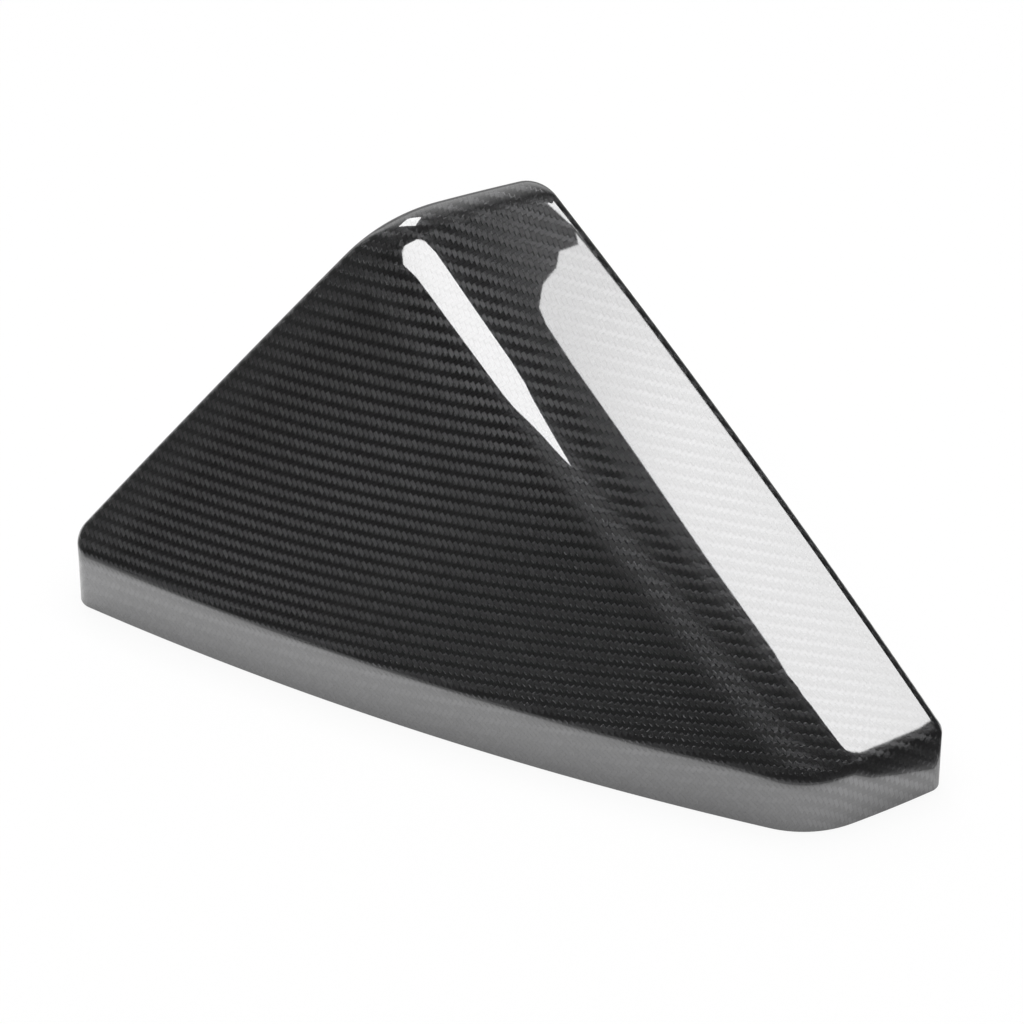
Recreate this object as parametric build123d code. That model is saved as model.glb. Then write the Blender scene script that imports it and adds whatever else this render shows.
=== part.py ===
"""Wing mirror cover: one moulded shell of woven carbon fibre, open underneath.

Millimetres, +Z up. The cover stands on its rim, on z = 0, with the origin under the middle of its box.
Its upright wall follows a rounded four-cornered rim. Two crowned faces slope up from the front of the wall,
a large one from the long side and a narrow one from the short side. They meet in a soft ridge that climbs to
the back of the wall, which is why the wall is low at the front and tall at the back.
"""

import math
import os

from build123d import *

# Rim corners in plan, measured from the left corner
LONG_SIDE = 300.0
SHORT_SIDE_RUN = 31.5
SHORT_SIDE_DEPTH = 45.5
BACK_CORNER_RUN = 124.0
BACK_CORNER_DEPTH = 147.0

# How far each side of the rim bows out at its middle
LONG_BOW = 10.0
SHORT_BOW = 0.85
RIGHT_BOW = 2.3
LEFT_BOW = 0.5

# Rounding of the rim's corners
LEFT_RADIUS = 7.0
FRONT_RADIUS = 36.5
RIGHT_RADIUS = 5.4
BACK_RADIUS = 12.0

# Wall, sloping faces and edges
WALL = 1.8
SKIRT_HEIGHT = 26.4
MAIN_SLOPE_DEGREES = 46.0
END_SLOPE_DEGREES = 25.7
RIDGE_RADIUS = 65.0
EDGE_RADIUS = 3.8

left_corner = Vector(0, 0)
front_corner = Vector(LONG_SIDE, 0)
right_corner = front_corner + Vector(SHORT_SIDE_RUN, SHORT_SIDE_DEPTH)
back_corner = Vector(BACK_CORNER_RUN, BACK_CORNER_DEPTH)

# The sides of the rim, anticlockwise: where each starts and ends, and its bow
long_side = (left_corner, front_corner, LONG_BOW)
short_side = (front_corner, right_corner, SHORT_BOW)
right_side = (right_corner, back_corner, RIGHT_BOW)
left_side = (back_corner, left_corner, LEFT_BOW)

# A height that the sloping faces stay below inside the rim
tall = BACK_CORNER_DEPTH * math.tan(math.radians(MAIN_SLOPE_DEGREES)) + SKIRT_HEIGHT


def inward(start, end):
    """The level direction from a side of the rim into the cover."""
    span = end - start
    return Vector(-span.Y, span.X).normalized()


def bow_radius(start, end, rise):
    """The radius of the arc from start to end that rises by this much at its middle."""
    half_span = (end - start).length / 2
    return (half_span**2 + rise**2) / (2 * rise)


def side_disc(side, inset):
    """The disc whose edge is one bowed side of the rim, moved in by the inset."""
    start, end, bow = side
    radius = bow_radius(start, end, bow)
    centre = (start + end) / 2 + inward(start, end) * (radius - bow)
    return Pos(centre) * Circle(radius - inset)


def rim_face(inset):
    """The rim's outline as a face on z = 0, moved in by the inset."""
    face = side_disc(long_side, inset)
    for side in (short_side, right_side, left_side):
        face = face & side_disc(side, inset)
    corners = {
        left_corner: LEFT_RADIUS,
        front_corner: FRONT_RADIUS,
        right_corner: RIGHT_RADIUS,
        back_corner: BACK_RADIUS,
    }
    for corner, radius in corners.items():
        face = fillet(face.vertices().sort_by_distance(corner)[0], radius - inset)
    return face


def sloping_face(side, slope, inset):
    """A wide cylinder whose skin is one crowned face, rising from a bowed side of the rim."""
    start, end, bow = side
    lean = math.radians(slope)
    level = inward(start, end)
    uphill = level * math.cos(lean) + Vector(0, 0, math.sin(lean))
    into = level * math.sin(lean) - Vector(0, 0, math.cos(lean))
    foot = (start + end) / 2 - level * bow + Vector(0, 0, SKIRT_HEIGHT)
    radius = bow_radius(start, end, bow * math.sin(lean))
    length = LONG_SIDE + tall
    plane = Plane(origin=foot + into * radius - uphill * length, z_dir=uphill)
    return extrude(plane * Circle(radius - inset), 2 * length)


def roof(inset, bottom):
    """The two sloping faces and the soft ridge between them, over a block wider than the rim."""
    margin = RIDGE_RADIUS
    wide = right_corner.X + 2 * margin
    deep = back_corner.Y + 2 * margin
    block = Pos(-margin, -margin, bottom) * Box(wide, deep, tall - bottom, align=Align.MIN)
    block = block & sloping_face(long_side, MAIN_SLOPE_DEGREES, inset)
    block = block & sloping_face(short_side, END_SLOPE_DEGREES, inset)
    ridge = block.edges().sort_by_distance(front_corner + Vector(0, 0, SKIRT_HEIGHT))[0]
    return fillet(ridge, RIDGE_RADIUS - inset)


def cover_block(inset, bottom):
    """The cover as a full block, with its skin moved in by the inset."""
    wall = extrude(Pos(0, 0, bottom) * rim_face(inset), tall - bottom)
    block = wall & roof(inset, bottom)
    upright = block.faces().filter_by(lambda face: abs(face.normal_at().Z) < 0.01)
    sloping = block.faces().filter_by(lambda face: face.normal_at().Z > 0.01)
    brow = [edge for edge in sloping.edges() if edge in upright.edges()]
    return fillet(brow, EDGE_RADIUS - inset)


shell = cover_block(0, 0) - cover_block(WALL, -WALL)
box = shell.bounding_box()
shell = Pos(-box.center().X, -box.center().Y, 0) * shell

os.makedirs("parts", exist_ok=True)
export_step(shell, "parts/mirror_cover_shell.step")
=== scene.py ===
"""Wing mirror cover in clear-coated carbon fibre, dressed on its CAD frame.

The cover's sizes are millimetres from the left corner of its rim, as on a drawing, and become metres where
its mesh is made. The shell is drawn out ring by ring from its rim, the cloth's tows are numbered on its UV
map, and one finish turns those numbers into a twill under clear lacquer.
"""

from __future__ import annotations

import logging
import math
from collections.abc import Sequence
from dataclasses import dataclass, field
from enum import Enum, IntEnum

import bmesh
import bpy
import numpy as np
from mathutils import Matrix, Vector

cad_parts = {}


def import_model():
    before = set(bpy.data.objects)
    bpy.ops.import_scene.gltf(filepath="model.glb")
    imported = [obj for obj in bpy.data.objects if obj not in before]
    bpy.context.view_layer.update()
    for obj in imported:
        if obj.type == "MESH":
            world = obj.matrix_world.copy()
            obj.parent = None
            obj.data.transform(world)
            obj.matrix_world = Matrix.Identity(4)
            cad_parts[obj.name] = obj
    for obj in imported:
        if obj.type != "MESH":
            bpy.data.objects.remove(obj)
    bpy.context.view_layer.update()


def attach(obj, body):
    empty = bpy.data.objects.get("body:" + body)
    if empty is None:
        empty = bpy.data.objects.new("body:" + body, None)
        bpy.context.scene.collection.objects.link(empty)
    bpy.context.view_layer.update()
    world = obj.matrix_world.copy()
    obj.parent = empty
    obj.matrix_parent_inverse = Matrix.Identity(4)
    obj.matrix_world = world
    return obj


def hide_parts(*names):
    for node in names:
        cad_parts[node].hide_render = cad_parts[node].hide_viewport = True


log = logging.getLogger("mirror_cover")

MM = 0.001
TINY = 1e-6
NODE = "mirror_cover_shell"
CLOTH_MAP = "cloth"
INSIDE_MARK = "inside"
RING_MARK = "ring"
COLUMN_MARK = "column"

# How far in the middle of a quarter round lies, as a share of its radius
ROUND_MIDDLE = 1 - math.sqrt(0.5)

# A two-by-two twill repeats after this many tows
TWILL_REPEAT = 4.0

# A quarter of a turn, as the shader counts turns
QUARTER_TURN = 0.25

# The places of the factor and of the two plain numbers among a Mix node's inputs
MIX_INPUTS = (0, 2, 3)

# A smooth change: where it starts and ends, and the level before and after it
Fade = tuple[float, float, float, float]

# A flat outline, as places in plan
Outline = tuple[tuple[float, float], ...]


def unit(vector: np.ndarray) -> np.ndarray:
    """The vectors of an array, each at length one."""
    return vector / np.linalg.norm(vector, axis=-1, keepdims=True)


class Zone(Enum):
    """The part of the shell that a band of faces belongs to."""

    RIM = "rim"
    WALL = "wall"
    BROW = "brow"
    ROOF = "roof"


class Side(IntEnum):
    """The sides of the rim, anticlockwise from the left corner."""

    LONG = 0
    SHORT = 1
    RIGHT = 2
    LEFT = 3


@dataclass(frozen=True)
class RimSide:
    """One bowed side of the rim in plan, from one corner to the next, anticlockwise."""

    start: tuple[float, float]
    end: tuple[float, float]
    bow: float

    def inward(self) -> np.ndarray:
        """The level direction from this side into the cover."""
        span = np.subtract(self.end, self.start)
        return unit(np.array([-span[1], span[0]]))

    def middle(self) -> np.ndarray:
        """The point halfway between the side's two corners."""
        return np.add(self.start, self.end) / 2

    def arc_radius(self, rise: float) -> float:
        """The radius of an arc over this side that rises by this much at its middle."""
        half_span = float(np.linalg.norm(np.subtract(self.end, self.start))) / 2
        return (half_span**2 + rise**2) / (2 * rise)

    def disc(self) -> tuple[np.ndarray, float]:
        """The centre and radius of the disc whose edge is this side."""
        radius = self.arc_radius(self.bow)
        return self.middle() + self.inward() * (radius - self.bow), radius


@dataclass(frozen=True)
class Arc:
    """One stretch of the rim's outline: part of a circle, anticlockwise from one point to another."""

    centre: np.ndarray
    radius: float
    first: np.ndarray
    last: np.ndarray

    def outward(self, step: float, least: int) -> np.ndarray:
        """The outward directions at evenly spaced points of the arc, without its last point.

        Args:
            step: The most that two points may lie apart.
            least: The least number of points.

        Returns:
            One level direction for each point.
        """
        start = math.atan2(*(self.first - self.centre)[::-1])
        end = math.atan2(*(self.last - self.centre)[::-1])
        if end < start:
            end += 2 * math.pi
        count = max(least, math.ceil((end - start) * self.radius / step))
        angles = np.linspace(start, end, count, endpoint=False)
        return np.stack([np.cos(angles), np.sin(angles)], axis=-1)


@dataclass
class Rim:
    """The rim's outline: four bowed sides with rounded corners.

    A point of the outline moved in along its normal stays on the outline of the inner wall, because the
    corners keep their centres. The outline's arcs are numbered in turn: a side, the corner at its end, and
    so on round the rim. The front takes in the arcs from the left corner to the right one.
    """

    sides: tuple[RimSide, ...]
    corner_radii: tuple[float, ...]
    step: float = 1.8
    side_points: int = 2
    corner_points: int = 14
    front_arcs: tuple[int, ...] = (7, 0, 1, 2, 3)
    points: np.ndarray = field(init=False)
    normals: np.ndarray = field(init=False)
    along: np.ndarray = field(init=False)
    arc_of: np.ndarray = field(init=False)

    def __post_init__(self) -> None:
        """Walks the outline once, side by side and corner by corner."""
        corners = [self._corner(index) for index in range(len(self.sides))]
        points, normals, numbers = [], [], []
        for index, side in enumerate(self.sides):
            bowed = Arc(*side.disc(), corners[index - 1].last, corners[index].first)
            pair = ((bowed, self.side_points), (corners[index], self.corner_points))
            for part, (arc, least) in enumerate(pair):
                outward = arc.outward(self.step, least)
                points.append(arc.centre + arc.radius * outward)
                normals.append(outward)
                numbers += [len(pair) * index + part] * len(outward)
        self.points = np.concatenate(points)
        self.normals = np.concatenate(normals)
        self.arc_of = np.array(numbers)
        gaps = np.linalg.norm(np.roll(self.points, -1, axis=0) - self.points, axis=1)
        self.along = np.concatenate([[0.0], np.cumsum(gaps)[:-1]])

    def _corner(self, index: int) -> Arc:
        """Rounds the corner at the end of one side.

        Args:
            index: The side's place in the rim.

        Returns:
            The rounding, from where it leaves this side to where it meets the next.
        """
        side, following = self.sides[index], self.sides[(index + 1) % len(self.sides)]
        radius = self.corner_radii[index]
        (centre_a, size_a), (centre_b, size_b) = side.disc(), following.disc()
        reach_a, reach_b = size_a - radius, size_b - radius
        apart = float(np.linalg.norm(centre_b - centre_a))
        along = (centre_b - centre_a) / apart
        foot = (reach_a**2 - reach_b**2 + apart**2) / (2 * apart)
        rise = math.sqrt(reach_a**2 - foot**2)
        aside = np.array([-along[1], along[0]])
        choices = [centre_a + along * foot + aside * rise * sign for sign in (1, -1)]
        centre = min(choices, key=lambda point: float(np.linalg.norm(point - np.array(side.end))))
        leaves = centre_a + unit(centre - centre_a) * size_a
        meets = centre_b + unit(centre - centre_b) * size_b
        return Arc(centre, radius, leaves, meets)

    def front(self) -> np.ndarray:
        """Which points belong to the front, from the left corner round to the right one."""
        return np.isin(self.arc_of, self.front_arcs)


@dataclass
class SlopingFace:
    """One crowned face of the roof: the skin of a wide cylinder that leans back from a side of the rim."""

    side: RimSide
    slope_degrees: float
    skirt_height: float
    uphill: np.ndarray = field(init=False)
    outward: np.ndarray = field(init=False)
    axis_point: np.ndarray = field(init=False)
    radius: float = field(init=False)

    def __post_init__(self) -> None:
        """Sets the cylinder's axis from the side, the slope and the height of the skirt."""
        lean = math.radians(self.slope_degrees)
        level = self.side.inward()
        self.uphill = np.array([*(level * math.cos(lean)), math.sin(lean)])
        self.outward = np.array([*(-level * math.sin(lean)), math.cos(lean)])
        foot = np.array([*(self.side.middle() - level * self.side.bow), self.skirt_height])
        self.radius = self.side.arc_radius(self.side.bow * math.sin(lean))
        self.axis_point = foot - self.outward * self.radius

    def distance(self, points: np.ndarray, inset: float) -> tuple[np.ndarray, np.ndarray]:
        """How far points lie outside the face.

        Args:
            points: Points of the cover.
            inset: How far the face is moved in.

        Returns:
            The signed distances, and the face's outward normal nearest each point.
        """
        offset = points - self.axis_point
        offset = offset - (offset @ self.uphill)[..., None] * self.uphill
        reach = np.linalg.norm(offset, axis=-1)
        return reach - (self.radius - inset), offset / reach[..., None]


@dataclass
class Roof:
    """The two sloping faces and the soft ridge between them.

    The roof's height over a place is found in steps: each moves a point up or down by its distance from the
    roof, and by more where the roof is steep.
    """

    main: SlopingFace
    end: SlopingFace
    ridge_radius: float
    first_height: float = 60.0
    height_steps: int = 30
    least_rise: float = 0.2

    def distance(self, points: np.ndarray, inset: float) -> tuple[np.ndarray, np.ndarray]:
        """How far points lie outside the roof.

        Args:
            points: Points of the cover.
            inset: How far the roof is moved in.

        Returns:
            The signed distances, and the roof's outward normal nearest each point.
        """
        radius = self.ridge_radius - inset
        far_main, normal_main = self.main.distance(points, inset)
        far_end, normal_end = self.end.distance(points, inset)
        shared = (normal_main * normal_end).sum(-1)
        rest = 1 - shared**2
        part_main = ((far_main + radius) - (far_end + radius) * shared) / rest
        part_end = ((far_end + radius) - (far_main + radius) * shared) / rest
        spoke = part_main[..., None] * normal_main + part_end[..., None] * normal_end
        reach = np.linalg.norm(spoke, axis=-1)
        on_ridge = (part_main > 0) & (part_end > 0)
        on_end = part_main <= 0
        flat = np.where(on_end, far_end, far_main)
        flat_normal = np.where(on_end[..., None], normal_end, normal_main)
        distances = np.where(on_ridge, reach - radius, flat)
        normals = np.where(on_ridge[..., None], spoke / reach[..., None], flat_normal)
        return distances, normals

    def over(self, plan: np.ndarray, inset: float) -> tuple[np.ndarray, np.ndarray]:
        """The roof's points above places in plan.

        Args:
            plan: Places in plan.
            inset: How far the roof is moved in.

        Returns:
            The points on the roof and its outward normals there.
        """
        heights = np.full((*plan.shape[:-1], 1), self.first_height)
        points = np.concatenate([plan, heights], axis=-1)
        for _ in range(self.height_steps):
            distances, normals = self.distance(points, inset)
            points[..., 2] -= distances / np.maximum(normals[..., 2], self.least_rise)
        return points, self.distance(points, inset)[1]


@dataclass
class Cloth:
    """How the woven cloth lies: one set of tows along the ridge, the other across it.

    A tow's number is a quadratic of the place on the unrolled roof, because the cloth is pulled out of
    square towards the front corner. The place is in hundreds of millimetres, along and across the ridge.
    """

    roof: Roof
    ridge_centre: tuple[float, float, float] = (157.9, 87.9, 34.3)
    place_unit: float = 100.0
    across_tows: tuple[float, ...] = (2.41, 61.1, -5.69, 1.15, -3.68)
    along_tows: tuple[float, ...] = (60.87, 3.09, 0.78, -1.05, 3.06)
    skirt_draw: float = 0.72
    pitch: float = 1.65

    def unroll(self, points: np.ndarray) -> np.ndarray:
        """Lays the roof out flat.

        Args:
            points: Points on the roof.

        Returns:
            Their places along and across the ridge.
        """
        main, end = self.roof.main.outward, self.roof.end.outward
        along = unit(np.cross(end, main))
        up = unit(main + end)
        across = np.cross(up, -along)
        along = -along if along[2] > 0 else along
        across = across if across @ end > 0 else -across
        half = math.acos(float(main @ end)) / 2
        offset = points - np.array(self.ridge_centre)
        angle = np.arctan2(offset @ across, offset @ up)
        down_main = -math.cos(half) * across - math.sin(half) * up
        down_end = math.cos(half) * across - math.sin(half) * up
        edge = self.roof.ridge_radius * half
        aside = np.where(
            angle < -half,
            -edge - offset @ down_main,
            np.where(angle > half, edge + offset @ down_end, self.roof.ridge_radius * angle),
        )
        return np.stack([offset @ along, aside], axis=-1)

    def tow_numbers(self, places: np.ndarray) -> np.ndarray:
        """Counts the tows on the unrolled roof.

        Args:
            places: Places along and across the ridge.

        Returns:
            The numbers of the two tows that cross at each place.
        """
        along, aside = places[..., 0] / self.place_unit, places[..., 1] / self.place_unit
        terms = np.stack([along, aside, along**2, along * aside, aside**2], axis=-1)
        return np.stack([terms @ np.array(self.across_tows), terms @ np.array(self.along_tows)], axis=-1)

    def upright_numbers(self, along: np.ndarray, height: np.ndarray) -> np.ndarray:
        """The numbers of the tows on an upright wall, where both run at 45 degrees."""
        scale = 1 / (self.pitch * math.sqrt(2))
        return np.stack([(along + height) * scale, (along - height) * scale], axis=-1)


@dataclass
class Ring:
    """One closed ring of the shell's mesh, with its shading normals and its tow numbers.

    The wall's own tow numbers are for the back, where the cloth doesn't hang down from the roof.
    """

    points: np.ndarray
    normals: np.ndarray
    tows: np.ndarray
    wall_tows: np.ndarray
    zone: Zone
    inside: float


class RingModeller:
    """Draws a shell out of a circle, one ring of edges at a time.

    Each vertex carries the number of its ring and its column, which an extrusion hands on.
    """

    START_RADIUS = 0.1
    SMOOTH_DEGREES = 40

    def __init__(self, name: str, count: int) -> None:
        """Adds the circle that the first ring is made from.

        Args:
            name: The piece's name.
            count: The number of points in a ring.
        """
        bpy.ops.object.select_all(action="DESELECT")
        bpy.ops.mesh.primitive_circle_add(vertices=count, radius=self.START_RADIUS, fill_type="NOTHING")
        self.piece = bpy.context.object
        self.piece.name = name
        self.piece.data.name = name
        self.count = count
        self.rings = 0
        bpy.ops.object.mode_set(mode="EDIT")
        sheet = bmesh.from_edit_mesh(self.piece.data)
        sheet.verts.layers.int.new(RING_MARK)
        column = sheet.verts.layers.int.new(COLUMN_MARK)
        for number, vertex in enumerate(sheet.verts):
            vertex[column] = number
        bmesh.update_edit_mesh(self.piece.data)

    def place(self, points: np.ndarray) -> None:
        """Moves the newest ring to its points.

        Args:
            points: One point for each column, in metres.
        """
        sheet = bmesh.from_edit_mesh(self.piece.data)
        sheet.verts.ensure_lookup_table()
        ring, column = sheet.verts.layers.int[RING_MARK], sheet.verts.layers.int[COLUMN_MARK]
        for vertex in sheet.verts[-self.count :]:
            vertex.co = points[vertex[column]]
            vertex[ring] = self.rings
        self.rings += 1
        bmesh.update_edit_mesh(self.piece.data)

    def grow(self, points: np.ndarray) -> None:
        """Extrudes the selected ring and moves the new one to its points."""
        bpy.ops.mesh.extrude_edges_move()
        self.place(points)

    def close(self) -> None:
        """Draws the newest ring together into one point."""
        bpy.ops.mesh.merge(type="CENTER")

    def back_to_first(self) -> None:
        """Selects the first ring again, so that the mesh grows from its other side."""
        bpy.ops.mesh.select_all(action="DESELECT")
        sheet = bmesh.from_edit_mesh(self.piece.data)
        sheet.verts.ensure_lookup_table()
        for vertex in sheet.verts[: self.count]:
            vertex.select = True
        sheet.select_flush(True)
        bmesh.update_edit_mesh(self.piece.data)

    def _sort(self) -> None:
        """Puts the mesh in the order of its rings, because an extrusion gives no fixed order."""
        sheet = bmesh.from_edit_mesh(self.piece.data)
        ring, column = sheet.verts.layers.int[RING_MARK], sheet.verts.layers.int[COLUMN_MARK]
        total = len(sheet.verts)

        def order(element: bmesh.types.BMEdge | bmesh.types.BMFace) -> float:
            """A number for an edge or a face that no other one has, from its first, second and last vertex."""
            numbers = sorted(vertex.index for vertex in element.verts)
            return numbers[0] * total + numbers[1] + numbers[-1] / (2 * total)

        sheet.verts.sort(key=lambda vertex: vertex[ring] * self.count + vertex[column])
        sheet.verts.index_update()
        sheet.edges.sort(key=order)
        sheet.faces.sort(key=order)
        bmesh.update_edit_mesh(self.piece.data)

    def finish(self) -> bpy.types.Object:
        """Sorts the mesh, leaves edit mode and shades the shell smooth.

        Returns:
            The piece.
        """
        self._sort()
        bpy.ops.object.mode_set(mode="OBJECT")
        bpy.ops.object.shade_smooth_by_angle(angle=math.radians(self.SMOOTH_DEGREES))
        return self.piece


@dataclass
class CoverShell:
    """The moulded shell: an upright wall, a rounded brow and the roof, all of one thickness.

    The form has one tight brow all round. Where the cover rolls over more softly, along the left of the
    back, at the right corner and along the front, the shading normals lean and the form stays.
    """

    wall: float = 1.8
    skirt_height: float = 26.4
    main_slope_degrees: float = 46.0
    end_slope_degrees: float = 25.7
    ridge_radius: float = 65.0
    edge_radius: float = 3.8
    rim_edge: float = 0.4

    # The rim's corners in plan, the bow of each side and the rounding of the corner at its end
    left: tuple[float, float] = (0.0, 0.0)
    front: tuple[float, float] = (300.0, 0.0)
    right: tuple[float, float] = (331.5, 45.5)
    back: tuple[float, float] = (124.0, 147.0)
    bows: tuple[float, ...] = (10.0, 0.85, 2.3, 0.5)
    corner_radii: tuple[float, ...] = (36.5, 5.4, 12.0, 7.0)
    crest: tuple[float, float] = (150.0, 62.0)

    # The soft roll along the left of the back, which grows from the main face to the ridge
    roll_reach: float = 9.0
    roll_degrees: tuple[float, float] = (4.0, 36.0)
    roll_start: float = -14.0
    roll_growth: float = 15.0

    # The soft right corner, as far round as its wall still faces the front
    corner_drop: float = 31.0
    corner_reach: float = 48.0
    corner_degrees: float = 45.0
    corner_gain: float = 3.0
    facing_limit: float = 0.5
    facing_fade: float = 0.4

    # The soft top of the front wall
    front_drop: float = 5.0
    front_degrees: float = 22.0
    front_gain: float = 2.0

    # The rings of the mesh: shares of the wall's height, numbers of rows, and shares of the way to the crest
    outer_wall_rows: tuple[float, ...] = (0.0, 0.04, 0.25, 0.5, 0.75, 0.93, 0.985, 1.0)
    inner_wall_rows: tuple[float, ...] = (0.0, 0.1, 0.5, 0.9, 1.0)
    outer_brow_rows: int = 12
    inner_brow_rows: int = 8
    roof_edge_rows: tuple[float, ...] = (0.003, 0.01)
    outer_roof_rows: int = 64
    inner_roof_rows: int = 32

    rim: Rim = field(init=False)
    roof: Roof = field(init=False)
    cloth: Cloth = field(init=False)

    def __post_init__(self) -> None:
        """Sets up the outline, the roof and the cloth from the sizes."""
        starts = (self.left, self.front, self.right, self.back)
        ends = (*starts[1:], starts[0])
        sides = tuple(RimSide(*side) for side in zip(starts, ends, self.bows))
        self.rim = Rim(sides, self.corner_radii)
        self.roof = Roof(
            SlopingFace(sides[Side.LONG], self.main_slope_degrees, self.skirt_height),
            SlopingFace(sides[Side.SHORT], self.end_slope_degrees, self.skirt_height),
            self.ridge_radius,
        )
        self.cloth = Cloth(self.roof)

    def middle(self) -> np.ndarray:
        """The point under the middle of the cover's box."""
        low, high = self.rim.points.min(0), self.rim.points.max(0)
        return np.array([*((low + high) / 2), 0.0])

    def rings(
        self, inset: float, wall_rows: Sequence[float], brow_rows: int, roof_rows: Sequence[float]
    ) -> list[Ring]:
        """The rings of one skin, from the top of the rim's edge to the last ring round the crest.

        Args:
            inset: How far the skin lies inside the outer one.
            wall_rows: The heights of the wall's rings, as shares of the wall.
            brow_rows: The number of rings round the brow.
            roof_rows: The places of the roof's rings, as shares of the way to the crest.

        Returns:
            The rings in order.
        """
        rim, radius = self.rim, self.edge_radius - inset
        inside = 1.0 if inset else 0.0
        outward = np.column_stack([rim.normals, np.zeros(len(rim.normals))])
        centres, tops = self.roof.over(rim.points - self.edge_radius * rim.normals, self.edge_radius)
        contact = centres + self.edge_radius * tops
        places = self.cloth.unroll(contact)
        run = unit(np.roll(places, -1, axis=0) - np.roll(places, 1, axis=0))
        fall = np.column_stack([run[:, 1], -run[:, 0]])
        turn = np.arccos(np.clip((outward * tops).sum(-1), -1, 1))
        result: list[Ring] = []

        def add(points: np.ndarray, normals: np.ndarray, drop: np.ndarray, zone: Zone) -> None:
            """Adds a ring below the roof, where the cloth hangs down from the roof's edge.

            Args:
                points: The ring's points.
                normals: The normals to shade it with.
                drop: How far down the cloth each point lies.
                zone: The part of the shell that the ring belongs to.
            """
            hung = places + fall * (drop * self.cloth.skirt_draw)[:, None]
            upright = self.cloth.upright_numbers(rim.along, points[:, 2])
            result.append(Ring(points, normals, self.cloth.tow_numbers(hung), upright, zone, inside))

        lowest, plan = self.rim_edge, rim.points - inset * rim.normals
        reach = np.maximum(self.corner_drop * self._near_right(), self.front_drop)
        for share in wall_rows:
            points = np.column_stack([plan, lowest + share * (centres[:, 2] - lowest)])
            drop = centres[:, 2] - points[:, 2]
            leaning = self._leaned(outward, np.clip(1 - drop / reach, 0, 1))
            add(points, leaning, turn * self.edge_radius + drop, Zone.WALL)
        for row in range(1, brow_rows + 1):
            share = row / brow_rows
            lean = np.sin((1 - share) * turn) / np.sin(turn)
            rise = np.sin(share * turn) / np.sin(turn)
            spoke = lean[:, None] * outward + rise[:, None] * tops
            rolled = self._leaned(self._rolled(contact, spoke, share), np.full(len(turn), 1 - share))
            add(centres + radius * spoke, rolled, (1 - share) * turn * self.edge_radius, Zone.BROW)
        edge = result[-1].points[:, :2]
        for share in roof_rows:
            points, normals = self.roof.over(edge + (np.array(self.crest) - edge) * share, inset)
            tows = self.cloth.tow_numbers(self.cloth.unroll(points))
            result.append(Ring(points, self._rolled(points, normals, 1.0), tows, tows, Zone.ROOF, inside))
        return result

    def _near_right(self) -> np.ndarray:
        """How near each point of the rim is to the right corner, from none to one."""
        away = np.linalg.norm(self.rim.points - np.array(self.right), axis=1)
        return np.clip(1 - away / self.corner_reach, 0, 1)

    def _leaned(self, normals: np.ndarray, share: np.ndarray) -> np.ndarray:
        """Leans the shading normals up where the wall rounds over softly, most at the right corner.

        Args:
            normals: The normals so far.
            share: How much of the lean each one takes.

        Returns:
            The normals to shade with.
        """
        backward = self.rim.normals[:, 1]
        facing = np.clip((self.facing_limit - backward) / self.facing_fade, 0, 1)
        at_corner = self.corner_degrees * np.clip(self.corner_gain * self._near_right(), 0, 1) * facing
        at_front = self.front_degrees * np.clip(-self.front_gain * backward, 0, 1)
        lean = np.radians(np.maximum(at_corner, at_front)) * share
        up = np.array([0.0, 0.0, 1.0]) - normals * normals[:, 2:]
        up = up / np.maximum(np.linalg.norm(up, axis=1, keepdims=True), TINY)
        return np.cos(lean)[:, None] * normals + np.sin(lean)[:, None] * up

    def _rolled(self, places: np.ndarray, normals: np.ndarray, share: float) -> np.ndarray:
        """Leans the shading normals out along the left of the back, where the roof rolls over softly.

        Args:
            places: The points of the roof that say how near the left side is.
            normals: The true normals.
            share: How much of the lean is taken, from none on the wall to all on the roof.

        Returns:
            The normals to shade with.
        """
        centre, radius = self.rim.sides[Side.LEFT].disc()
        spoke = places[:, :2] - centre
        far = np.linalg.norm(spoke, axis=1)
        outward = np.column_stack([spoke / far[:, None], np.zeros(len(far))])
        near = np.clip(1 - (radius - far - self.edge_radius) / self.roll_reach, 0, 1)
        side, top = np.radians(self.roll_degrees)
        rise = np.clip((self.cloth.unroll(places)[:, 1] - self.roll_start) / self.roll_growth, 0, 1)
        lean = (side + (top - side) * rise * rise * (3 - 2 * rise)) * share * near
        aside = unit(outward - (outward * normals).sum(-1, keepdims=True) * normals)
        return np.cos(lean)[:, None] * normals + np.sin(lean)[:, None] * aside

    def rim_ring(self, inset: float, height: float) -> Ring:
        """One ring of the rim's lower edge.

        Args:
            inset: How far the ring lies inside the outline.
            height: How far it lies above the table.

        Returns:
            The ring, which leaves its shading to the mesh.
        """
        plan = self.rim.points - inset * self.rim.normals
        points = np.column_stack([plan, np.full(len(plan), height)])
        tows = self.cloth.upright_numbers(self.rim.along, points[:, 2] - inset)
        inside = 1.0 if inset > self.wall / 2 else 0.0
        return Ring(points, np.zeros_like(points), tows, tows, Zone.RIM, inside)

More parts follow.
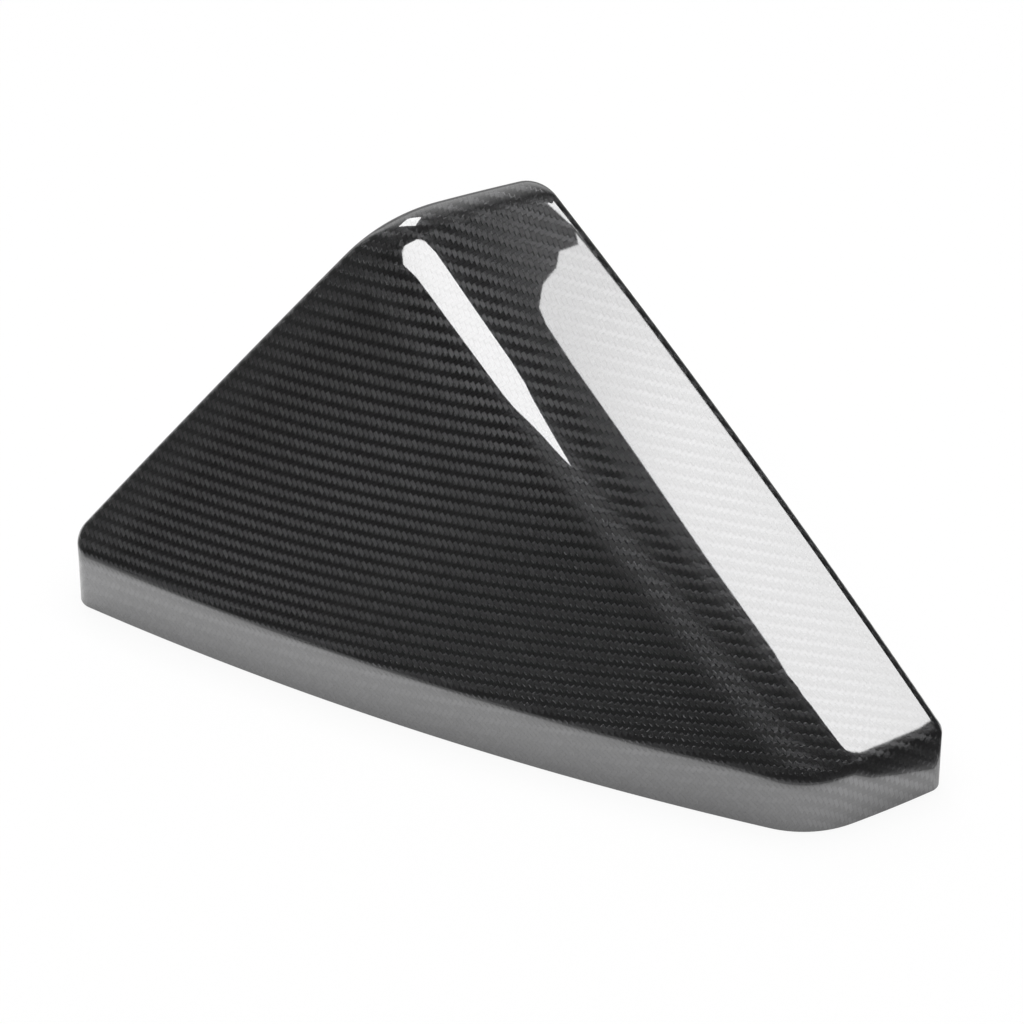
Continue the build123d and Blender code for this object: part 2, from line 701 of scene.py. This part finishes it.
    def build(self, name: str) -> bpy.types.Object:
        """Models the shell: out of the rim over the wall and roof, then up its inside.

        Args:
            name: The piece's name.

        Returns:
            The finished piece, with its tow numbers on the UV map.
        """
        soft, low = self.rim_edge, self.rim_edge * ROUND_MIDDLE
        outer_roof = [row / self.outer_roof_rows for row in range(1, self.outer_roof_rows + 1)]
        inner_roof = [row / self.inner_roof_rows for row in range(1, self.inner_roof_rows + 1)]
        outer_roof = [*self.roof_edge_rows, *outer_roof]
        outer = [self.rim_ring(soft, 0.0), self.rim_ring(low, low)]
        outer += self.rings(0.0, self.outer_wall_rows, self.outer_brow_rows, outer_roof)
        inner = [self.rim_ring(self.wall - soft, 0.0), self.rim_ring(self.wall - low, low)]
        inner += self.rings(self.wall, self.inner_wall_rows, self.inner_brow_rows, inner_roof)
        origin = self.middle()
        modeller = RingModeller(name, len(self.rim.points))
        modeller.place((outer[0].points - origin) * MM)
        for ring in outer[1:]:
            modeller.grow((ring.points - origin) * MM)
        modeller.close()
        modeller.back_to_first()
        for ring in inner:
            modeller.grow((ring.points - origin) * MM)
        modeller.close()
        piece = modeller.finish()
        self._number_tows(piece, outer + inner)
        self._set_normals(piece, outer + inner)
        return piece

    def _number_tows(self, piece: bpy.types.Object, rings: list[Ring]) -> None:
        """Writes the tow numbers to the UV map, and which side is the inside to an attribute.

        Args:
            piece: The shell's mesh, whose vertices carry their ring and column.
            rings: The rings of the outer and the inner skin, in the order of their numbers.
        """
        mesh = piece.data
        ring, column = (self._marks(mesh, name) for name in (RING_MARK, COLUMN_MARK))
        tows = np.stack([item.tows for item in rings])[ring, column]
        wall_tows = np.stack([item.wall_tows for item in rings])[ring, column]
        upright = np.array([item.zone in (Zone.RIM, Zone.WALL) for item in rings])[ring]
        at_back = ~self.rim.front()[column]
        corner = np.zeros(len(mesh.loops), dtype=np.int32)
        mesh.loops.foreach_get("vertex_index", corner)
        starts = np.zeros(len(mesh.polygons), dtype=np.int32)
        mesh.polygons.foreach_get("loop_start", starts)
        sizes = np.diff(np.append(starts, len(corner)))
        on_wall = np.logical_and.reduceat(upright[corner], starts)
        on_back = np.logical_or.reduceat(at_back[corner], starts)
        apart = np.repeat(on_wall & on_back, sizes)
        numbers = np.where(apart[:, None], wall_tows[corner], tows[corner])
        layer = mesh.uv_layers.new(name=CLOTH_MAP)
        layer.data.foreach_set("uv", numbers.astype(np.float32).ravel())
        mark = mesh.attributes.new(INSIDE_MARK, "FLOAT", "POINT")
        inside = np.array([item.inside for item in rings], dtype=np.float32)[ring]
        mark.data.foreach_set("value", inside)

    def _set_normals(self, piece: bpy.types.Object, rings: list[Ring]) -> None:
        """Gives the outer skin its own shading normals, and leaves the rest to the mesh.

        Args:
            piece: The shell's mesh, whose vertices carry their ring and column.
            rings: The rings of the outer and the inner skin, in the order of their numbers.
        """
        mesh = piece.data
        ring, column = (self._marks(mesh, name) for name in (RING_MARK, COLUMN_MARK))
        normals = np.stack([item.normals * (1 - item.inside) for item in rings])[ring, column]
        mesh.normals_split_custom_set_from_vertices(normals.tolist())

    @staticmethod
    def _marks(mesh: bpy.types.Mesh, name: str) -> np.ndarray:
        """Reads the whole numbers that a mesh's vertices carry.

        Args:
            mesh: The mesh.
            name: The name that the numbers are kept under.

        Returns:
            One number for each vertex.
        """
        values = np.zeros(len(mesh.vertices), dtype=np.int32)
        mesh.attributes[name].data.foreach_get("value", values)
        return values


class NodeSheet:
    """A node tree with short calls for adding and joining nodes."""

    def __init__(self, tree: bpy.types.NodeTree) -> None:
        """Takes over a tree and empties it."""
        self.tree = tree
        tree.nodes.clear()

    def add(self, kind: str, **settings: object) -> bpy.types.Node:
        """Adds a node.

        Args:
            kind: The node's type.
            **settings: Values for its properties.

        Returns:
            The node.
        """
        node = self.tree.nodes.new(kind)
        for name, value in settings.items():
            setattr(node, name, value)
        return node

    def feed(self, socket: bpy.types.NodeSocket, value: object) -> None:
        """Joins an output to a socket, or sets the socket's own value.

        Args:
            socket: The input to fill.
            value: An output of another node, or a plain value.
        """
        if isinstance(value, bpy.types.NodeSocket):
            self.tree.links.new(value, socket)
        else:
            socket.default_value = value

    def math(self, operation: str, *values: object) -> bpy.types.NodeSocket:
        """Adds a Math node.

        Args:
            operation: What it does.
            *values: Its inputs, in order.

        Returns:
            Its result.
        """
        node = self.add("ShaderNodeMath", operation=operation)
        for socket, value in zip(node.inputs, values):
            self.feed(socket, value)
        return node.outputs[0]

    def choose(self, factor: object, low: object, high: object) -> bpy.types.NodeSocket:
        """Mixes two plain numbers.

        Args:
            factor: How much of the second one is taken.
            low: The number at factor none.
            high: The number at factor one.

        Returns:
            The mixed number.
        """
        node = self.add("ShaderNodeMix", data_type="FLOAT")
        for place, value in zip(MIX_INPUTS, (factor, low, high)):
            self.feed(node.inputs[place], value)
        return node.outputs[0]

    def ramp(self, value: object, fade: Fade) -> bpy.types.NodeSocket:
        """Turns a value into a level that changes smoothly.

        Args:
            value: What the level depends on.
            fade: Where the change starts and ends, and the level before and after it.

        Returns:
            The level.
        """
        node = self.add("ShaderNodeMapRange", interpolation_type="SMOOTHSTEP")
        for socket, number in zip(node.inputs, (value, *fade)):
            self.feed(socket, number)
        return node.outputs[0]


def blank_material(name: str) -> tuple[bpy.types.Material, NodeSheet]:
    """Makes a material without nodes.

    Args:
        name: The material's name.

    Returns:
        The material, and the sheet to lay its nodes out on.
    """
    material = bpy.data.materials.new(name)
    material.use_nodes = True
    return material, NodeSheet(material.node_tree)


@dataclass(frozen=True)
class Weave:
    """What the tow numbers say at a place of the cloth, as outputs of a material's nodes.

    Attributes:
        ridge_on_top: One where a tow along the ridge lies on top, and none where one across it does.
        run: How far along its float the top tow is, from none at the middle to one at either end.
        aside: How far the place is from the top tow's middle line, from none to one.
        tow: A number for the top tow, which the tows of the other set don't share.
    """

    ridge_on_top: bpy.types.NodeSocket
    run: bpy.types.NodeSocket
    aside: bpy.types.NodeSocket
    tow: bpy.types.NodeSocket


@dataclass(frozen=True)
class CarbonFinish:
    """Carbon twill under clear lacquer outside, and bare and dull inside.

    The two sets of tows, along the ridge and across it, each have their own roughness and direction of shine.
    The tows across the ridge are painted a darker tone than those along it, as painted shade for the darker
    look that the lights give them. A float falls away at its ends, where the tow dives under the next one.
    """

    name: str = "lacquered_carbon_twill"
    # The tows across the ridge take the darker tone: painted shade, not a colour of their own
    ridge_tone: float = 0.168
    cross_painted_shade_tone: float = 0.111
    gap_tone: float = 0.05
    gap_start: float = 0.75
    gap_depth: float = 0.55
    tone_spread: float = 0.08
    tint: tuple[float, float, float] = (1.0, 1.0, 1.03)
    ridge_roughness: float = 0.408
    cross_roughness: float = 0.289
    bare_roughness: float = 0.65
    grain: float = 0.988
    fall_start: float = 0.75
    cross_fall: float = 0.134
    ridge_fall: float = 0.058
    skew: float = 0.2
    set_shift: float = 0.5
    lacquer_roughness: float = 0.015
    lacquer_ior: float = 2.3

    def make(self) -> bpy.types.Material:
        """Makes the material.

        Returns:
            The material, which reads the tow numbers and the inside mark of the shell.
        """
        material, sheet = blank_material(self.name)
        weave = self._weave(sheet)
        inside = sheet.add("ShaderNodeAttribute", attribute_name=INSIDE_MARK).outputs["Fac"]
        dull = sheet.choose(weave.ridge_on_top, self.cross_roughness, self.ridge_roughness)
        tangent = sheet.add("ShaderNodeTangent", direction_type="UV_MAP", uv_map=CLOTH_MAP)
        shader = sheet.add("ShaderNodeBsdfPrincipled")
        settings = {
            "Base Color": self._colour(sheet, weave),
            "Metallic": 1.0,
            "Roughness": sheet.choose(inside, dull, self.bare_roughness),
            "Normal": self._crimp(sheet, weave),
            "Anisotropic": self.grain,
            "Anisotropic Rotation": sheet.choose(weave.ridge_on_top, QUARTER_TURN, 0.0),
            "Tangent": tangent.outputs[0],
            "Coat Weight": sheet.math("SUBTRACT", 1.0, inside),
            "Coat Roughness": self.lacquer_roughness,
            "Coat IOR": self.lacquer_ior,
        }
        for name, value in settings.items():
            sheet.feed(shader.inputs[name], value)
        output = sheet.add("ShaderNodeOutputMaterial")
        sheet.feed(output.inputs["Surface"], shader.outputs[0])
        return material

    def _weave(self, sheet: NodeSheet) -> Weave:
        """Finds out which tow lies on top, from the tow numbers.

        Args:
            sheet: The sheet of the material's nodes.

        Returns:
            The top tow, and where on it the place is.
        """
        split = sheet.add("ShaderNodeSeparateXYZ")
        sheet.feed(split.inputs[0], sheet.add("ShaderNodeUVMap", uv_map=CLOTH_MAP).outputs[0])
        across_no, along_no = split.outputs[0], split.outputs[1]
        across_tow, along_tow = sheet.math("FLOOR", across_no), sheet.math("FLOOR", along_no)
        cross_side, ridge_side = self._side(sheet, along_no), self._side(sheet, across_no)
        cross_place = self._place(sheet, sheet.math("ADD", across_no, 1.0), along_tow)
        ridge_place = self._place(sheet, along_no, across_tow)
        slant = sheet.math("MULTIPLY", ridge_side, sheet.math("MAXIMUM", ridge_place, 0.0))
        skewed = sheet.math("MULTIPLY_ADD", slant, self.skew, ridge_place)
        ridge_on_top = sheet.math("LESS_THAN", sheet.math("ABSOLUTE", skewed), 1.0)
        run = sheet.math("ABSOLUTE", sheet.choose(ridge_on_top, cross_place, skewed))
        run = sheet.math("MINIMUM", run, 1.0)
        aside = sheet.math("ABSOLUTE", sheet.choose(ridge_on_top, cross_side, ridge_side))
        tow = sheet.choose(ridge_on_top, sheet.math("ADD", along_tow, self.set_shift), across_tow)
        return Weave(ridge_on_top, run, aside, tow)

    def _colour(self, sheet: NodeSheet, weave: Weave) -> bpy.types.NodeSocket:
        """Gives each tow its tone, darker in the gaps beside it, with painted shade on the tows across the
        ridge.

        Args:
            sheet: The sheet of the material's nodes.
            weave: The top tow.

        Returns:
            The base colour.
        """
        chance = sheet.add("ShaderNodeTexWhiteNoise", noise_dimensions="1D")
        sheet.feed(chance.inputs["W"], weave.tow)
        spread = (0.0, 1.0, 1 - self.tone_spread, 1 + self.tone_spread)
        gap = sheet.ramp(weave.aside, (self.gap_start, 1.0, 0.0, self.gap_depth))
        # Painted shade: the tows across the ridge take the darker tone
        full = sheet.choose(weave.ridge_on_top, self.cross_painted_shade_tone, self.ridge_tone)
        tone = sheet.choose(gap, full, self.gap_tone)
        tone = sheet.math("MULTIPLY", sheet.ramp(chance.outputs["Value"], spread), tone)
        colour = sheet.add("ShaderNodeCombineColor")
        for socket, tint in zip(colour.inputs, self.tint):
            sheet.feed(socket, sheet.math("MULTIPLY", tone, tint))
        return colour.outputs[0]

    def _crimp(self, sheet: NodeSheet, weave: Weave) -> bpy.types.NodeSocket:
        """Lets each float fall away at its ends.

        Args:
            sheet: The sheet of the material's nodes.
            weave: The top tow.

        Returns:
            The bumped normal.
        """
        steep = 1 / (1 - self.fall_start)
        dip = sheet.math("MULTIPLY_ADD", weave.run, steep, -self.fall_start * steep)
        dip = sheet.math("MAXIMUM", dip, 0.0)
        fall = sheet.choose(weave.ridge_on_top, self.cross_fall, self.ridge_fall)
        height = sheet.math("SUBTRACT", 1.0, sheet.math("MULTIPLY", dip, fall))
        bump = sheet.add("ShaderNodeBump")
        bump.inputs["Strength"].default_value = 1.0
        bump.inputs["Distance"].default_value = MM
        sheet.feed(bump.inputs["Height"], height)
        return bump.outputs[0]

    @staticmethod
    def _place(
        sheet: NodeSheet, number: bpy.types.NodeSocket, other: bpy.types.NodeSocket
    ) -> bpy.types.NodeSocket:
        """Where along its float a place of a tow is, from minus one at one end to one at the other."""
        around = sheet.math("FLOORED_MODULO", sheet.math("SUBTRACT", number, other), TWILL_REPEAT)
        return sheet.math("SUBTRACT", around, TWILL_REPEAT / 2)

    @staticmethod
    def _side(sheet: NodeSheet, number: bpy.types.NodeSocket) -> bpy.types.NodeSocket:
        """How far a place is to the side of its tow's middle line, from minus one to one."""
        return sheet.math("MULTIPLY_ADD", sheet.math("FRACT", number), 2.0, -1.0)


@dataclass(frozen=True)
class Softbox:
    """A flat lamp that looks straight down, and shows as a white patch in the lacquer.

    Its outline and height are millimetres. Its glow changes from the left end inwards.
    """

    name: str
    outline: Outline
    radiance: float
    end_radiance: float
    height: float = 1200.0
    end_reach: float = 160.0

    def hang(self) -> bpy.types.Object:
        """Adds the lamp as a flat sheet that glows and doesn't hide the cover from a camera above it.

        Returns:
            The lamp.
        """
        bpy.ops.object.select_all(action="DESELECT")
        bpy.ops.mesh.primitive_circle_add(vertices=len(self.outline), radius=1.0, fill_type="NGON")
        lamp = bpy.context.object
        lamp.name = self.name
        for vertex, place in zip(lamp.data.vertices, self.outline):
            vertex.co = Vector((*place, self.height)) * MM
        material, sheet = blank_material(self.name)
        glow = sheet.add("ShaderNodeEmission")
        split = sheet.add("ShaderNodeSeparateXYZ")
        sheet.feed(split.inputs[0], sheet.add("ShaderNodeTexCoord").outputs["Object"])
        left = min(place[0] for place in self.outline)
        fade = (left * MM, (left + self.end_reach) * MM, self.end_radiance, self.radiance)
        sheet.feed(glow.inputs["Strength"], sheet.ramp(split.outputs[0], fade))
        sheet.feed(sheet.add("ShaderNodeOutputMaterial").inputs["Surface"], glow.outputs[0])
        lamp.data.materials.append(material)
        lamp.visible_camera = False
        return lamp


@dataclass(frozen=True)
class Studio:
    """The white table, the lamps, the surroundings and the camera.

    The camera's places are millimetres, and the table and the fill lamp are in metres.
    """

    # The table, and its shine in the lacquer: darker close to the cover, and fading outwards and to the right
    table_size: float = 6.0
    table_drop: float = 0.0002
    table_white: float = 0.9
    table_glow: float = 0.9
    table_shine: float = 1.0
    shadow_samples: int = 8
    shadow_reach: float = 0.05
    shadow_fade: Fade = (0.48, 0.88, 0.55, 1.0)
    shine_size: tuple[float, float] = (0.16, 0.09)
    shine_fade: Fade = (1.2, 4.0, 1.0, 0.25)
    shine_side_fade: Fade = (-0.16, 0.18, 1.1, 0.92)

    # The surroundings, by direction: the horizon, the back wall, the ceiling behind and the side wall
    horizon_fade: Fade = (-0.02, 0.16, 0.3, 0.067)
    wall_back_fade: Fade = (0.2, 0.6, 0.0, 1.0)
    wall_right_fade: Fade = (-0.25, 0.15, 1.0, 0.0)
    wall_high_fade: Fade = (0.35, 0.95, 0.95, 0.1)
    ceiling_back_fade: Fade = (0.2, 0.3, 0.0, 0.2)
    ceiling_high_fade: Fade = (0.8, 0.9, 0.0, 1.0)
    side_back_fade: Fade = (-0.612, -0.607, 0.0, 0.045)
    side_right_fade: Fade = (-0.4, -0.2, 1.0, 0.0)

    # The lamps
    softboxes: tuple[Softbox, ...] = (
        Softbox(
            "long_softbox",
            (
                (278, 416), (282, 409), (267, 382), (267, 366), (258, 338), (258, 315), (266, 308),
                (293, 302), (362, 292), (431, 280), (503, 272), (518, 267), (531, 259), (538, 249),
                (545, 222), (550, 201), (554, 190), (560, 194), (587, 270), (617, 321), (646, 372),
                (657, 395), (613, 403), (519, 409), (425, 413), (332, 417),
            ),
            4.7,
            3.9,
        ),
        Softbox(
            "short_softbox",
            (
                (-105, -200), (-194, -330), (-234, -395), (-186, -355), (-150, -344), (-87, -333),
                (-32, -329), (-11, -317), (24, -284), (54, -257), (98, -225), (120, -203), (122, -184),
                (120, -144), (119, -87), (124, -60), (115, -38), (84, -35), (41, -34), (18, -38), (-12, -68),
            ),
            5.3,
            5.2,
        ),
        Softbox("back_softbox", ((-985, 577), (-491, 367), (-740, 826), (-1115, 967)), 5.0, 5.0),
        Softbox("corner_glint", ((246, 409), (296, 506), (317, 510), (272, 417)), 4.7, 4.7),
    )
    fill_height: float = 2.2
    fill_size: float = 2.4
    fill_energy: float = 62.0

    # The camera
    camera_place: tuple[float, float, float] = (670.3, -1423.2, 1355.2)
    camera_aim: tuple[float, float, float] = (-21.8, 10.6, 34.3)
    lens: float = 200.0
    sensor: float = 36.0
    sight: float = 50.0

    def lay_table(self) -> bpy.types.Object:
        """Lays the white table, which shows as white and keeps a faint shadow.

        Returns:
            The table.
        """
        bpy.ops.object.select_all(action="DESELECT")
        bpy.ops.mesh.primitive_plane_add(size=self.table_size, location=(0, 0, -self.table_drop))
        table = bpy.context.object
        table.name = "table"
        table.data.materials.append(self._table_paint())
        return table

    def _table_paint(self) -> bpy.types.Material:
        """Makes the table's material: white to the eye and in the lacquer, and plain paint to the light.

        Returns:
            The material.
        """
        material, sheet = blank_material("white_table")
        paint = sheet.add("ShaderNodeBsdfDiffuse")
        paint.inputs["Color"].default_value = (self.table_white, self.table_white, self.table_white, 1)
        glow = sheet.add("ShaderNodeEmission")
        path = sheet.add("ShaderNodeLightPath")
        to_eye, to_gloss = path.outputs["Is Camera Ray"], path.outputs["Is Glossy Ray"]
        close = sheet.add("ShaderNodeAmbientOcclusion", samples=self.shadow_samples)
        close.inputs["Distance"].default_value = self.shadow_reach
        place = sheet.add("ShaderNodeTexCoord").outputs["Object"]
        split = sheet.add("ShaderNodeSeparateXYZ")
        sheet.feed(split.inputs[0], place)
        spread = sheet.add("ShaderNodeVectorMath", operation="MULTIPLY")
        sheet.feed(spread.inputs[0], place)
        spread.inputs[1].default_value = (*(1 / size for size in self.shine_size), 0.0)
        away = sheet.add("ShaderNodeVectorMath", operation="LENGTH")
        sheet.feed(away.inputs[0], spread.outputs[0])
        shine = sheet.math("MULTIPLY", sheet.ramp(close.outputs["AO"], self.shadow_fade), self.table_shine)
        shine = sheet.math("MULTIPLY", shine, sheet.ramp(away.outputs["Value"], self.shine_fade))
        shine = sheet.math("MULTIPLY", shine, sheet.ramp(split.outputs[0], self.shine_side_fade))
        sheet.feed(glow.inputs["Strength"], sheet.choose(to_gloss, 1.0, shine))
        mix = sheet.add("ShaderNodeMixShader")
        sheet.feed(mix.inputs[0], sheet.choose(to_eye, to_gloss, self.table_glow))
        sheet.feed(mix.inputs[1], paint.outputs[0])
        sheet.feed(mix.inputs[2], glow.outputs[0])
        sheet.feed(sheet.add("ShaderNodeOutputMaterial").inputs["Surface"], mix.outputs[0])
        return material

    def set_surroundings(self) -> None:
        """Makes the surroundings white to the eye, pale near the horizon and behind, and dim elsewhere."""
        world = bpy.data.worlds.new("studio")
        bpy.context.scene.world = world
        world.use_nodes = True
        sheet = NodeSheet(world.node_tree)
        split = sheet.add("ShaderNodeSeparateXYZ")
        sheet.feed(split.inputs[0], sheet.add("ShaderNodeTexCoord").outputs["Generated"])
        right, back, high = split.outputs
        horizon = sheet.ramp(high, self.horizon_fade)
        wall = sheet.math(
            "MULTIPLY", sheet.ramp(back, self.wall_back_fade), sheet.ramp(right, self.wall_right_fade)
        )
        wall = sheet.math("MULTIPLY", wall, sheet.ramp(high, self.wall_high_fade))
        ceiling = sheet.math(
            "MULTIPLY", sheet.ramp(back, self.ceiling_back_fade), sheet.ramp(high, self.ceiling_high_fade)
        )
        side = sheet.math(
            "MULTIPLY", sheet.ramp(back, self.side_back_fade), sheet.ramp(right, self.side_right_fade)
        )
        behind = sheet.math("MAXIMUM", wall, ceiling)
        level = sheet.math("ADD", sheet.math("MAXIMUM", horizon, behind), side)
        path = sheet.add("ShaderNodeLightPath")
        backdrop = sheet.add("ShaderNodeBackground")
        sheet.feed(backdrop.inputs["Strength"], sheet.math("MAXIMUM", level, path.outputs["Is Camera Ray"]))
        sheet.feed(sheet.add("ShaderNodeOutputWorld").inputs["Surface"], backdrop.outputs[0])

    def hang_lamps(self) -> list[bpy.types.Object]:
        """Hangs the softboxes, and a wide fill that doesn't show in the lacquer.

        Returns:
            The softboxes.
        """
        boxes = [softbox.hang() for softbox in self.softboxes]
        bpy.ops.object.light_add(type="AREA", location=(0, 0, self.fill_height))
        fill = bpy.context.object
        fill.name = "fill"
        fill.data.size = self.fill_size
        fill.data.energy = self.fill_energy
        fill.visible_glossy = False
        fill.visible_camera = False
        return boxes

    def set_camera(self) -> None:
        """Sets the camera at the photograph's angle."""
        place = Vector(self.camera_place) * MM
        view = Vector(self.camera_aim) * MM - place
        bpy.ops.object.camera_add(location=place, rotation=view.to_track_quat("-Z", "Y").to_euler())
        camera = bpy.context.object
        camera.data.lens = self.lens
        camera.data.sensor_width = self.sensor
        camera.data.clip_end = self.sight
        bpy.context.scene.camera = camera


def main() -> None:
    """Loads the frame, builds and dresses the cover, and sets the scene."""
    logging.basicConfig(level=logging.INFO, format="%(name)s: %(message)s")
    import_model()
    piece = CoverShell().build("cover_shell")
    piece.data.materials.append(CarbonFinish().make())
    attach(piece, "root")
    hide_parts(NODE)
    log.info("%s: %d faces", piece.name, len(piece.data.polygons))
    studio = Studio()
    studio.lay_table()
    studio.set_surroundings()
    for lamp in studio.hang_lamps():
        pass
    studio.set_camera()
    bpy.context.scene.view_settings.view_transform = "Standard"
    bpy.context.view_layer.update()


if __name__ == "__main__":
    main()
